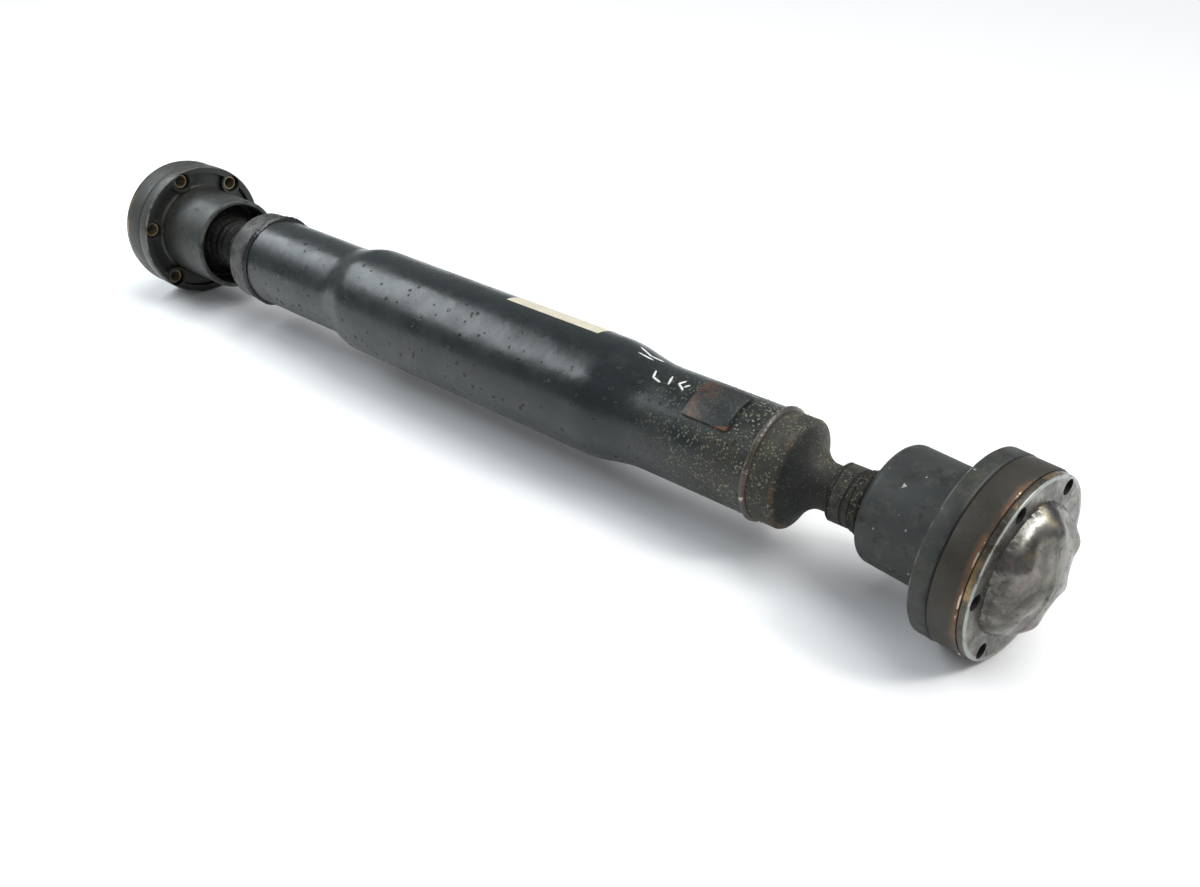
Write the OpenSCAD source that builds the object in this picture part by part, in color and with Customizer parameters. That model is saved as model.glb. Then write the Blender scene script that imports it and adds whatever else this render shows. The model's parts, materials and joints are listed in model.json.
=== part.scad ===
// Propeller shaft with a six-bolt constant-velocity joint at each end.
// X runs along the tube from the left joint to the right joint and Z is up.
// The origin is the centre of the left joint's mounting face.
// Inside a joint, u is measured from the joint centre along its axis, and is
// positive towards the mounting face.

/* [Shaft] */
// Distance between the two joint centres
centre_distance = 670.3; // [600:0.1:900]
// Outside radius of the tube at its ends
tube_r = 31; // [30:0.1:32]
// Outside radius of the tube's wide middle
tube_wide_r = 36.25; // [34:0.05:40]
// Wall thickness of the tube
tube_wall = 2.5; // [1.5:0.1:2.5]
// Distance from the left joint centre to the left weld
left_weld = 115.05; // [112:0.05:125]
// Distance from the right joint centre to the right weld
right_weld = 124.25; // [122:0.05:140]
// Radius of the stub shafts' necks
neck_r = 12.9; // [12.5:0.1:13]

/* [Joints] */
// Rest angle of the right joint, towards -Y
right_bend = 8; // [0:0.1:8]
// Outside radius of the joint adapters
adapter_r = 50; // [49:0.1:52]
// Outside radius of the outer races
race_r = 49.6; // [49.2:0.1:52]
// Diameter of the bolt circle
bolt_circle = 86; // [85:0.1:87]
// Radius of the bolt holes
bolt_hole_r = 4.25; // [4:0.05:4.4]
// Direction of the left joint's first bolt hole about X
left_bolt_angle = 44; // [0:1:60]
// Direction of the right joint's first bolt hole about X
right_bolt_angle = 54.5; // [0:0.5:60]
// Radius of a ball
ball_r = 7.14; // [6.8:0.01:7.2]
// Radius at which the balls run
ball_pitch_r = 28; // [27.9:0.05:28.1]

/* [Boot housings] */
// Outside radius of the left housing
left_can_r = 33.8; // [33:0.1:35]
// Distance from the joint centre to the left housing's mouth
left_can_end = 62.75; // [58:0.05:64]
// Outside radius of the right housing
right_can_r = 33; // [33:0.1:34]
// Distance from the joint centre to the right housing's mouth
right_can_end = 61.25; // [56:0.05:62]

/* [Hidden] */
$fn = 96;
BOLTS = 6;
left_centre = 13.25;
right_centre = left_centre + centre_distance;
bolt_r = bolt_circle / 2;
ball_offset = 180 / BOLTS;

// Stations along a joint's axis, from the mounting face inboard
face_u = 13.25;
cap_in_u = 9.75;
race_out_u = 9.25;
seam_u = -6;
gasket_t = 0.5;
adapter_out_u = seam_u - gasket_t;
spigot_u = -9;
adapter_in_u = -16.35;
spigot_r = 40;
fit_gap = 0.05;

// Ball track, cage and inner race
track_r = ball_r + 0.56;
race_bore_r = 31.8;
cage_out_r = 31.4;
cage_in_r = 26.5;
cage_half = 11;
inner_race_r = 26.2;
inner_race_half = 10;
spline_r = 12;
stub_end_u = 14;

// Fasteners' sleeves and their seats
sleeve_r = 5;
sleeve_in_u = -13.35;
counterbore_r = 6.4;
counterbore_u = -11.35;
boss_r = 8.2;
boss_drop = 0.4;
recess_depth = 4;

// Boot, clamp and ring
clamp_in_u = -82.75;
clamp_out_u = -72.25;
boot_sleeve_r = 15.2;
clamp_t = 0.95;
ring_in_u = -44;
ring_out_u = -38;
ring_bore_r = 27.5;

// Points on an arc about [radius, u], from angle a0 to a1
function arc(centre, r, a0, a1, steps = 8) =
    [for (i = [0:steps]) let (a = a0 + (a1 - a0) * i / steps)
        centre + r * [cos(a), sin(a)]];

// Smooth step from r0 to r1 between two stations
function swage(u0, u1, r0, r1, steps = 12) =
    [for (i = [0:steps]) [r0 + (r1 - r0) * (1 - cos(180 * i / steps)) / 2,
        u0 + (u1 - u0) * i / steps]];

// Solid of revolution about X from [radius, station] points
module turned(points) rotate([0, 90, 0]) rotate_extrude() polygon(points);

// Ring about X
module ring(r_in, r_out, u0, u1)
    turned([[r_in, u0], [r_out, u0], [r_out, u1], [r_in, u1]]);

// Six copies about X of something that stands on +Y
module around(angle) for (i = [0:BOLTS - 1])
    rotate([angle + i * 360 / BOLTS, 0, 0]) children();

// Six round rods parallel to X on the bolt circle
module bolt_rods(angle, r, u0, u1) around(angle)
    translate([u0, bolt_r, 0]) rotate([0, 90, 0]) cylinder(r = r, h = u1 - u0);

// Frames of the two joints. bend is the share of the rest angle that applies.
module at_left() translate([left_centre, 0, 0]) mirror([1, 0, 0]) children();
module at_right(bend = 0) translate([right_centre, 0, 0])
    rotate([0, 0, -right_bend * bend]) children();

// ---- Shaft ----

module tube() {
    wide_from = left_centre + 228.05;
    wide_to = right_centre - 238.25;
    left_taper = 28;
    right_taper = 40;
    x0 = left_centre + left_weld;
    x1 = right_centre - right_weld;
    function side(inset) = concat([[tube_r - inset, x0]],
        swage(wide_from - left_taper, wide_from, tube_r - inset, tube_wide_r - inset),
        swage(wide_to, wide_to + right_taper, tube_wide_r - inset, tube_r - inset),
        [[tube_r - inset, x1]]);
    inner = side(tube_wall);
    color("#32383b") turned(concat(side(0), [for (i = [len(inner) - 1:-1:0]) inner[i]]));
}

// Splined end, neck, flared shoulder and the spigot that enters the tube
module stub_shaft(weld, shoulder_u, shoulder_r, flare, spline_gap = 0.02) {
    spigot_length = 13;
    spigot_bore_r = 24;
    flare_rise = 17.6;
    chamfer = 0.8;
    plug_r = tube_r - tube_wall - fit_gap;
    groove_r = 10.9;
    color("#2c2b28") turned(concat(
        [[0, stub_end_u], [11, stub_end_u], [spline_r - spline_gap, stub_end_u - 1],
            [spline_r - spline_gap, 11.6], [groove_r, 11.6], [groove_r, 10.05],
            [spline_r - spline_gap, 10.05], [spline_r - spline_gap, -10.05],
            [neck_r, -10.05]],
        [for (i = [0:10]) let (t = i / 10)
            [neck_r + flare_rise * t * t, -shoulder_u + flare * (1 - t)]],
        [[shoulder_r, -shoulder_u - chamfer], [shoulder_r, -weld + 2],
            [tube_r, -weld + 2], [tube_r, -weld], [plug_r, -weld],
            [plug_r, -weld - spigot_length], [spigot_bore_r, -weld - spigot_length],
            [spigot_bore_r, -weld - 4], [0, -weld - 4]]));
}
module left_stub_shaft() at_left() stub_shaft(left_weld, left_weld - 17, 32.3, 13.5);
module right_stub_shaft() at_right() stub_shaft(right_weld, right_weld - 16, 30.9, 17.25);

// Bead of weld metal standing on the tube
module weld_bead(weld, width, height) color("#5a4332")
    turned([for (i = [0:12]) [tube_r + height * sin(180 * i / 12),
        -weld + width * (i / 12 - 0.5)]]);
module left_weld_bead() at_left() weld_bead(left_weld, 4, 2.5);
module right_weld_bead() at_right() weld_bead(right_weld, 6.5, 1.8);

// Curved steel plate spot-welded near the right end
module balance_weight() {
    x0 = right_centre - 170.5;
    length = 28;
    thickness = 2;
    half_angle = 25;
    color("#4a4d4e") intersection() {
        ring(tube_r, tube_r + thickness, x0, x0 + length);
        rotate([108, 0, 0]) translate([x0 - 1, 0, 0]) rotate([90, 0, 90])
            linear_extrude(length + 2) polygon([[0, 0], [50, 50 * tan(half_angle)],
                [50, -50 * tan(half_angle)]]);
    }
}

// Paper label around the back of the wide part of the tube
module label() {
    x0 = left_centre + 347;
    length = 73;
    half_angle = 35.5;
    thickness = 0.2;
    color("#d8d2bd") intersection() {
        ring(tube_wide_r, tube_wide_r + thickness, x0, x0 + length);
        rotate([49, 0, 0]) translate([x0 - 1, 0, 0]) rotate([90, 0, 90])
            linear_extrude(length + 2) polygon([[0, 0], [50, 50 * tan(half_angle)],
                [50, -50 * tan(half_angle)]]);
    }
}

// ---- Inside the joints ----

// Three rings, each of which cuts two opposite ball tracks that curve about the centre
module curved_tracks(angle) for (i = [0:2]) rotate([angle + 60 * i, 0, 0])
    rotate_extrude() translate([ball_pitch_r, 0]) circle(r = track_r);

module inner_race() color("#8f8f8b") difference() {
    intersection() {
        sphere(r = inner_race_r);
        ring(spline_r, inner_race_r + 1, -inner_race_half, inner_race_half);
    }
    curved_tracks(right_bolt_angle + ball_offset);
}
module left_inner_race() at_left()
    rotate([left_bolt_angle - right_bolt_angle, 0, 0]) inner_race();
module right_inner_race() at_right() inner_race();

module circlip() color("#6f6f6c") difference() {
    ring(10.95, 13.8, 10.1, 11.5);
    translate([9, 0, -1.5]) cube([4, 20, 3]);
}
module left_circlip() at_left() circlip();
module right_circlip() at_right() circlip();

// Ball cage: a spherical band with a window for each ball
module cage(angle) {
    window = [2 * ball_r + 0.12, 17.2, 12];
    color("#7d7d79") difference() {
        intersection() {
            sphere(r = cage_out_r);
            ring(cage_in_r - 8, cage_out_r + 1, -cage_half, cage_half);
        }
        sphere(r = cage_in_r);
        around(angle + ball_offset) translate([-window[0] / 2, cage_in_r - 4, -window[1] / 2])
            cube([window[0], window[2], window[1]]);
    }
}
module left_cage() at_left() cage(left_bolt_angle);
module right_cage() at_right(0.5) cage(right_bolt_angle);

module balls(angle) color("#b9bab8") around(angle + ball_offset)
    translate([0, ball_pitch_r, 0]) sphere(r = ball_r);
module left_balls() at_left() balls(left_bolt_angle);
module right_balls() at_right(0.5) balls(right_bolt_angle);

// ---- Outer parts of a joint ----

// Drilled disc with a locating spigot, before its bore is cut
module race_blank(angle) {
    chamfer = 0.6;
    difference() {
        turned([[0, spigot_u], [spigot_r, spigot_u], [spigot_r, seam_u],
            [race_r - chamfer, seam_u], [race_r, seam_u + chamfer],
            [race_r, race_out_u - chamfer], [race_r - chamfer, race_out_u],
            [0, race_out_u]]);
        bolt_rods(angle, sleeve_r + fit_gap, spigot_u - 1, race_out_u + 1);
    }
}

// The left joint lets the shaft slide, so its bore and tracks are straight
module left_outer_race() at_left() color("#4b3e34") difference() {
    race_blank(left_bolt_angle);
    translate([-20, 0, 0]) rotate([0, 90, 0]) cylinder(r = race_bore_r, h = 40);
    around(left_bolt_angle + ball_offset) translate([-20, ball_pitch_r, 0])
        rotate([0, 90, 0]) cylinder(r = track_r, h = 40);
}

// The right joint holds the shaft's end, so its bore is a sphere and its tracks curve
module right_outer_race() at_right(1) color("#4b3e34") difference() {
    race_blank(right_bolt_angle);
    sphere(r = race_bore_r);
    curved_tracks(right_bolt_angle + ball_offset);
}

// Mouth of a boot housing: curled inwards where the lip is larger than the wall
function can_mouth(r, wall, lip, end) = let (c = [r - lip, -end + lip])
    lip > wall
        ? concat(arc(c, lip, 0, -90), arc(c, lip - wall, -90, 0))
        : concat(arc(c, lip, 0, -90), [[r - wall + 0.8, -end], [r - wall, -end + 0.8]]);

// Flange and boot housing in one piece. The back of the flange is recessed between
// its rim and the housing, and a boss stands there round each bolt hole.
module adapter(angle, can_r, wall, lip, end) {
    chamfer = 0.8;
    fillet = 2.2;
    ball_room_r = 35.2;
    rim_in_r = 44;
    recess_u = adapter_in_u + recess_depth;
    bore_r = can_r - wall;
    color("#3e403e") difference() {
        union() {
            turned(concat(
                [[spigot_r + fit_gap, adapter_out_u], [adapter_r - chamfer, adapter_out_u],
                    [adapter_r, adapter_out_u - chamfer], [adapter_r, adapter_in_u + chamfer],
                    [adapter_r - chamfer, adapter_in_u], [rim_in_r + chamfer, adapter_in_u],
                    [rim_in_r, recess_u]],
                arc([can_r + fillet, recess_u - fillet], fillet, 90, 180),
                can_mouth(can_r, wall, lip, end),
                [[bore_r, -15.85], [31.6, -13.6], [ball_room_r, -10.8],
                    [ball_room_r, spigot_u - 0.25], [spigot_r + fit_gap, spigot_u - 0.25]]));
            difference() {
                bolt_rods(angle, boss_r, adapter_in_u + boss_drop, recess_u + 1);
                ring(adapter_r - 2, adapter_r + 10, adapter_in_u - 1, recess_u + 2);
            }
        }
        bolt_rods(angle, sleeve_r + fit_gap, adapter_in_u - 1, 0);
        bolt_rods(angle, counterbore_r, adapter_in_u - 1, counterbore_u);
    }
}
module left_adapter() at_left() adapter(left_bolt_angle, left_can_r, 3.5, 1.5, left_can_end);
module right_adapter() at_right(1)
    adapter(right_bolt_angle, right_can_r, 2.6, 5, right_can_end);

module gasket(angle, r_in, r_out, u, hole_r) color("#151515") difference() {
    ring(r_in, r_out, u, u + gasket_t);
    bolt_rods(angle, hole_r, u - 1, u + 2);
}
module left_adapter_gasket() at_left()
    gasket(left_bolt_angle, spigot_r + 0.2, race_r - 0.5, adapter_out_u, sleeve_r + 0.2);
module right_adapter_gasket() at_right(1)
    gasket(right_bolt_angle, spigot_r + 0.2, race_r - 0.5, adapter_out_u, sleeve_r + 0.2);
module left_cap_gasket() at_left()
    gasket(left_bolt_angle, 36, 48, race_out_u, bolt_hole_r + 0.4);
module right_cap_gasket() at_right(1)
    gasket(right_bolt_angle, 36, 48, race_out_u, bolt_hole_r + 0.4);

// Pressed steel cap: a flat mounting rim and a domed middle that clears the balls
module end_cap(angle) {
    cap_r = 48.6;
    chamfer = 0.5;
    color("#969691") difference() {
        turned([[34.8, cap_in_u], [cap_r, cap_in_u], [cap_r, face_u - chamfer],
            [cap_r - chamfer, face_u], [36.3, face_u], [34, 14.2], [32.2, 16.75],
            [29.6, 19.75], [26, 22.9], [19.5, 26.3], [12, 28.9], [6, 29.8], [0, 30],
            [0, 28.5], [6, 28.3], [11.5, 27.4], [18.8, 24.9], [25, 21.6],
            [28.3, 18.8], [30.8, 16.1], [32.5, 13.6], [34.8, 11.6]]);
        bolt_rods(angle, bolt_hole_r, cap_in_u - 1, face_u + 1);
    }
}
module left_end_cap() at_left() end_cap(left_bolt_angle);
module right_end_cap() at_right(1) end_cap(right_bolt_angle);

// Clamping sleeves that line the bolt holes
module sleeves(angle) color("#9a7b3a") difference() {
    bolt_rods(angle, sleeve_r, sleeve_in_u, race_out_u);
    bolt_rods(angle, bolt_hole_r, sleeve_in_u - 1, race_out_u + 1);
}
module left_sleeves() at_left() sleeves(left_bolt_angle);
module right_sleeves() at_right(1) sleeves(right_bolt_angle);

// ---- Boots ----

module boot_clamp() color("#33322f")
    ring(boot_sleeve_r + fit_gap, boot_sleeve_r + clamp_t, clamp_in_u, clamp_out_u);
module left_boot_clamp() at_left() boot_clamp();
module right_boot_clamp() at_right() boot_clamp();

// Ring that presses the boot's wide end into its housing
module boot_ring(can_bore_r) color("#4c4c49")
    ring(ring_bore_r, can_bore_r - fit_gap, ring_in_u, ring_out_u);
module left_boot_ring() at_left() boot_ring(left_can_r - 3.5);
module right_boot_ring() at_right(1) boot_ring(right_can_r - 2.6);

// Share of the joint's angle that the boot follows at station u
function boot_share(u) = let (t = min(1, max(0, (u - clamp_out_u) / 26))) t * t;

// Boot as rings of points. Each ring turns about the joint centre by its own
// share of the bend, so the narrow end stays on the neck and the wide end follows.
module boot(bend) {
    sides = 48;
    outline = [[-84, 13.05], [-84, boot_sleeve_r], [-71.5, boot_sleeve_r], [-69, 16.6],
        [-66, 17.8], [-62.5, 16.9], [-58, 18], [-52, 21], [-48, 24.5], [-46, 27.3],
        [ring_out_u, 27.3], [ring_out_u, 25.3], [-45, 25.3], [-47, 22.5], [-51, 19.2],
        [-57, 16.4], [-62.5, 15.2], [-66, 16], [-69, 14.8], [-71.5, 13.05]];
    count = len(outline);
    points = [for (p = outline, j = [0:sides - 1])
        let (a = 360 * j / sides, turn = -bend * boot_share(p[0]),
            x = p[0], y = p[1] * cos(a), z = p[1] * sin(a))
        [x * cos(turn) - y * sin(turn), x * sin(turn) + y * cos(turn), z]];
    function at(i, j) = (i % count) * sides + j % sides;
    faces = [for (i = [0:count - 1], j = [0:sides - 1], half = [0, 1])
        half == 0 ? [at(i, j), at(i, j + 1), at(i + 1, j + 1)]
            : [at(i, j), at(i + 1, j + 1), at(i + 1, j)]];
    color("#1c1c1b") polyhedron(points, faces);
}
module left_boot() at_left() boot(0);
module right_boot() at_right() boot(right_bend);

tube();
left_stub_shaft();
right_stub_shaft();
left_weld_bead();
right_weld_bead();
left_inner_race();
right_inner_race();
left_circlip();
right_circlip();
left_boot_clamp();
right_boot_clamp();
balance_weight();
label();
left_boot();
left_cage();
left_balls();
left_adapter();
left_adapter_gasket();
left_outer_race();
left_cap_gasket();
left_end_cap();
left_sleeves();
left_boot_ring();
right_boot();
right_cage();
right_balls();
right_adapter();
right_adapter_gasket();
right_outer_race();
right_cap_gasket();
right_end_cap();
right_sleeves();
right_boot_ring();
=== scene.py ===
"""Looks of a propeller shaft with a six-bolt constant-velocity joint at each end.

Lengths here are in metres, in the frame of the CAD model: +X runs along the tube
from the left joint to the right joint and +Z is up. Inside a joint, u is the
distance from its centre along its own axis, positive towards the mounting face.
"""
import json
import math
import random

import bmesh
import bpy
from mathutils import Matrix, Vector, noise


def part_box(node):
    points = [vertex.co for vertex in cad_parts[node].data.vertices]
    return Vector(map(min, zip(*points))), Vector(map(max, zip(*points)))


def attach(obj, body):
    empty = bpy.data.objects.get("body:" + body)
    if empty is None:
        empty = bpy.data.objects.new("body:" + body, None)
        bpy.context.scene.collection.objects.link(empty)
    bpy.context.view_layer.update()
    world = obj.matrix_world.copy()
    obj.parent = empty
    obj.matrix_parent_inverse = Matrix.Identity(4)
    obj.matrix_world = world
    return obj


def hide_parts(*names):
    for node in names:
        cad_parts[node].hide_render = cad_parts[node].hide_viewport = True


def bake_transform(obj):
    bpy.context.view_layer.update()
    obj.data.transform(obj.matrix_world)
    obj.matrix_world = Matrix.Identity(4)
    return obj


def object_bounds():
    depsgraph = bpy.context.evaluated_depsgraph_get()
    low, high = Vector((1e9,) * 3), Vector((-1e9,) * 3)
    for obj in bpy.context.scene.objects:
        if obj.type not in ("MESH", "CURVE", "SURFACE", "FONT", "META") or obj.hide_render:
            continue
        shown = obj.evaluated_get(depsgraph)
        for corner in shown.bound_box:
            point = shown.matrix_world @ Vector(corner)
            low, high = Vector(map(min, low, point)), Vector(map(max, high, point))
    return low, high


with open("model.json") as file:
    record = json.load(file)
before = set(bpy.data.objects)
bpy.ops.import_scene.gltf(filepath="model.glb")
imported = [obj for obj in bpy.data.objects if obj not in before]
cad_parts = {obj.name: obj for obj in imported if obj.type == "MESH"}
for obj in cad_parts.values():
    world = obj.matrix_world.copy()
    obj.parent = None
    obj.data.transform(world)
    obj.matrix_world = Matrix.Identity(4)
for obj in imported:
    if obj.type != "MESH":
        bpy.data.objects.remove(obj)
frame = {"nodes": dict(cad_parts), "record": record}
cad_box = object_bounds()
MM = 0.001


# ---------------------------------------------------------------- joint frames

def joint_centre(name):
    """The point that a joint of the record turns about."""
    joints = frame["record"]["behaviour"]["joints"]
    return Vector(next(joint["pos_m"] for joint in joints if joint["name"] == name))


def mount(name):
    """A mount of the record."""
    return next(entry for entry in frame["record"]["mounts"] if entry["name"] == name)


class JointFrame:
    """Centre and axes of one joint: u outward along it, and v, w across it."""

    def __init__(self, side, bolt_angle):
        self.side = side
        self.centre = joint_centre(side + "_yaw")
        self.axis = Vector(mount(side + "_bolts")["axis"]).normalized()
        self.shaft_axis = Vector((-1, 0, 0)) if side == "left" else Vector((1, 0, 0))
        self.bolt_angle = math.radians(bolt_angle)

    def turn(self, share=1.0):
        """Rotation from the straight joint to its rest angle, or a share of it."""
        full = self.shaft_axis.rotation_difference(self.axis)
        if full.angle < 1e-6:
            return Matrix.Identity(3)
        return Matrix.Rotation(full.angle * share, 3, full.axis)

    def point(self, u, radius, angle, share=1.0):
        """A point at station u and radius, at an angle about X from +Y towards +Z."""
        straight = self.shaft_axis * u + Vector((0, radius * math.cos(angle), radius * math.sin(angle)))
        return self.centre + self.turn(share) @ straight


LEFT = JointFrame("left", 44)
RIGHT = JointFrame("right", 54.5)
BOLTS = 6
BOLT_CIRCLE_R = mount("right_bolts")["dims"]["pcd_mm"] / 2 * MM
BOLT_HOLE_R = mount("right_bolts")["dims"]["hole_r_mm"] * MM
BALL_OFFSET = math.pi / BOLTS
FACE_U = 13.25 * MM
SHAFT_X0 = LEFT.centre.x
SHAFT_X1 = RIGHT.centre.x
TUBE_R = 31 * MM
TUBE_WIDE_R = 36.25 * MM
LEFT_BEAD_X = SHAFT_X0 + 115.05 * MM
RIGHT_BEAD_X = SHAFT_X1 - 124.25 * MM


# ------------------------------------------------------------- material helper

class Paint:
    """A Principled material and short calls for the nodes that feed it."""

    def __init__(self, name, metallic=0.0, specular=0.5, coat=0.0, coat_roughness=0.2):
        self.mat = bpy.data.materials.new(name)
        self.mat.use_nodes = True
        self.nodes = self.mat.node_tree.nodes
        self.links = self.mat.node_tree.links
        self.shader = self.nodes["Principled BSDF"]
        self.shader.inputs["Metallic"].default_value = metallic
        self.shader.inputs["Specular IOR Level"].default_value = specular
        self.shader.inputs["Coat Weight"].default_value = coat
        self.shader.inputs["Coat Roughness"].default_value = coat_roughness
        self.place = self.nodes.new("ShaderNodeTexCoord").outputs["Object"]

    def plug(self, socket, value):
        if isinstance(value, bpy.types.NodeSocket):
            self.links.new(value, socket)
        else:
            socket.default_value = value

    def math(self, operation, a, b=0.0):
        node = self.nodes.new("ShaderNodeMath")
        node.operation = operation
        self.plug(node.inputs[0], a)
        self.plug(node.inputs[1], b)
        return node.outputs[0]

    def add(self, a, b):
        return self.math("ADD", a, b)

    def times(self, a, b):
        return self.math("MULTIPLY", a, b)

    def most(self, a, b):
        return self.math("MAXIMUM", a, b)

    def stretched(self, scale):
        """Coordinates scaled by a different amount along each axis."""
        node = self.nodes.new("ShaderNodeVectorMath")
        node.operation = "MULTIPLY"
        self.links.new(self.place, node.inputs[0])
        node.inputs[1].default_value = scale
        return node.outputs[0]

    def noise(self, size, detail=4.0, rough=0.55, distort=0.0, at=None):
        """Noise whose features are about size metres across."""
        node = self.nodes.new("ShaderNodeTexNoise")
        node.inputs["Scale"].default_value = 1.0 / size
        node.inputs["Detail"].default_value = detail
        node.inputs["Roughness"].default_value = rough
        node.inputs["Distortion"].default_value = distort
        self.links.new(at or self.place, node.inputs["Vector"])
        return node.outputs["Fac"]

    def cells(self, size, at=None):
        """Distance to the nearest of scattered points about size metres apart."""
        node = self.nodes.new("ShaderNodeTexVoronoi")
        node.inputs["Scale"].default_value = 1.0 / size
        self.links.new(at or self.place, node.inputs["Vector"])
        return node.outputs["Distance"]

    def step(self, value, low, high, out_low=0.0, out_high=1.0):
        """Smooth change from out_low to out_high as value goes from low to high."""
        node = self.nodes.new("ShaderNodeMapRange")
        node.interpolation_type = "SMOOTHSTEP"
        self.plug(node.inputs["Value"], value)
        node.inputs["From Min"].default_value = low
        node.inputs["From Max"].default_value = high
        node.inputs["To Min"].default_value = out_low
        node.inputs["To Max"].default_value = out_high
        return node.outputs["Result"]

    def band(self, value, centre, half, soft):
        """1 inside centre +- half, and 0 a distance soft outside it."""
        distance = self.math("ABSOLUTE", self.math("SUBTRACT", value, centre))
        return self.step(distance, half, half + soft, 1.0, 0.0)

    def mix(self, share, a, b):
        node = self.nodes.new("ShaderNodeMix")
        node.data_type = "RGBA"
        self.plug(node.inputs[0], share)
        self.plug(node.inputs[6], a if isinstance(a, bpy.types.NodeSocket) else (*a, 1.0))
        self.plug(node.inputs[7], b if isinstance(b, bpy.types.NodeSocket) else (*b, 1.0))
        return node.outputs[2]

    def along_x(self):
        return self.split_place().outputs[0]

    def up_z(self):
        return self.split_place().outputs[2]

    def split_place(self):
        node = self.nodes.new("ShaderNodeSeparateXYZ")
        self.links.new(self.place, node.inputs[0])
        return node

    def station(self, joint):
        """(u, radius) of a surface point in a joint's rest frame."""
        relative = self.nodes.new("ShaderNodeVectorMath")
        relative.operation = "SUBTRACT"
        self.links.new(self.place, relative.inputs[0])
        relative.inputs[1].default_value = joint.centre
        dot = self.nodes.new("ShaderNodeVectorMath")
        dot.operation = "DOT_PRODUCT"
        self.links.new(relative.outputs[0], dot.inputs[0])
        dot.inputs[1].default_value = joint.axis
        cross = self.nodes.new("ShaderNodeVectorMath")
        cross.operation = "CROSS_PRODUCT"
        self.links.new(relative.outputs[0], cross.inputs[0])
        cross.inputs[1].default_value = joint.axis
        length = self.nodes.new("ShaderNodeVectorMath")
        length.operation = "LENGTH"
        self.links.new(cross.outputs[0], length.inputs[0])
        return dot.outputs["Value"], length.outputs["Value"]

    def finish(self, colour, roughness, height=None, depth=0.3 * MM, strength=1.0, metallic=None):
        self.plug(self.shader.inputs["Base Color"], colour)
        self.plug(self.shader.inputs["Roughness"], roughness)
        if metallic is not None:
            self.plug(self.shader.inputs["Metallic"], metallic)
        if height is not None:
            bump = self.nodes.new("ShaderNodeBump")
            bump.inputs["Distance"].default_value = depth
            bump.inputs["Strength"].default_value = strength
            self.links.new(height, bump.inputs["Height"])
            self.links.new(bump.outputs["Normal"], self.shader.inputs["Normal"])
        return self.mat


# ------------------------------------------------------------------- materials

MUD_PALE = (0.22, 0.21, 0.14)


def mud_masks(p, start_x, full_x):
    """(film, specks) of dried mud that thickens from start_x to full_x along the shaft."""
    amount = p.step(p.along_x(), start_x, full_x)
    patch = p.noise(0.020, 6.0, 0.7)
    film = p.times(amount, p.step(patch, 0.36, 0.66))
    return film, p.times(speck_mask(p), amount)


def speck_mask(p):
    """Dried splashes of three sizes, bunched where the noise is low."""
    fine = p.step(scattered(p, 0.0018, 0.006, 0.9), 0.66, 0.80, 1.0, 0.0)
    middling = p.step(scattered(p, 0.0036, 0.010, 0.9), 0.52, 0.60, 1.0, 0.0)
    drops = p.step(scattered(p, 0.0090, 0.020, 0.5), 0.26, 0.31, 1.0, 0.0)
    return p.most(p.times(fine, 0.75), p.most(middling, drops))


def scattered(p, size, clump, sway):
    """Distance to scattered points, offset by noise so that they bunch and vary in size."""
    return p.add(p.cells(size), p.times(p.noise(clump, 4.0, 0.65), sway))


def tube_paint():
    """Gloss black paint with pits and dust, muddier towards the right end."""
    p = Paint("tube_paint", specular=0.42, coat=0.12, coat_roughness=0.24)
    cloud = p.noise(0.06, 5.0, 0.6)
    dust = p.step(p.noise(0.010, 6.0, 0.7), 0.50, 0.76)
    pits = p.step(scattered(p, 0.0060, 0.011, 0.9), 0.56, 0.64, 1.0, 0.0)
    pits = p.times(pits, p.step(p.noise(0.030, 4.0), 0.44, 0.54))
    film, specks = mud_masks(p, SHAFT_X0 + 0.455, SHAFT_X0 + 0.535)
    rust_area = p.times(p.step(p.noise(0.014, 5.0, 0.7), 0.60, 0.72),
                        p.step(p.along_x(), SHAFT_X0 + 0.47, SHAFT_X0 + 0.52))
    colour = p.mix(cloud, (0.0040, 0.0078, 0.0084), (0.0100, 0.0165, 0.0168))
    colour = p.mix(p.times(dust, 0.22), colour, (0.060, 0.060, 0.052))
    colour = p.mix(p.times(pits, 0.95), colour, (0.001, 0.001, 0.001))
    colour = p.mix(p.times(film, 0.8), colour, (0.024, 0.0235, 0.0150))
    colour = p.mix(p.times(rust_area, 0.45), colour, (0.052, 0.026, 0.014))
    colour = p.mix(p.times(specks, 0.85), colour, MUD_PALE)
    rough = p.step(p.noise(0.022, 4.0, 0.6), 0.30, 0.72, 0.22, 0.40)
    rough = p.add(rough, p.times(pits, 0.35))
    rough = p.add(rough, p.times(film, 0.32))
    rough = p.add(rough, p.times(specks, 0.35))
    waves = p.noise(0.036, 3.0)
    grain = p.noise(0.0016, 3.0)
    height = p.add(p.times(waves, 2.6), p.times(grain, 0.14))
    height = p.add(p.math("SUBTRACT", height, p.times(pits, 1.6)), p.times(specks, 0.8))
    return p.finish(colour, rough, height, 0.38 * MM, 0.85)


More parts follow.
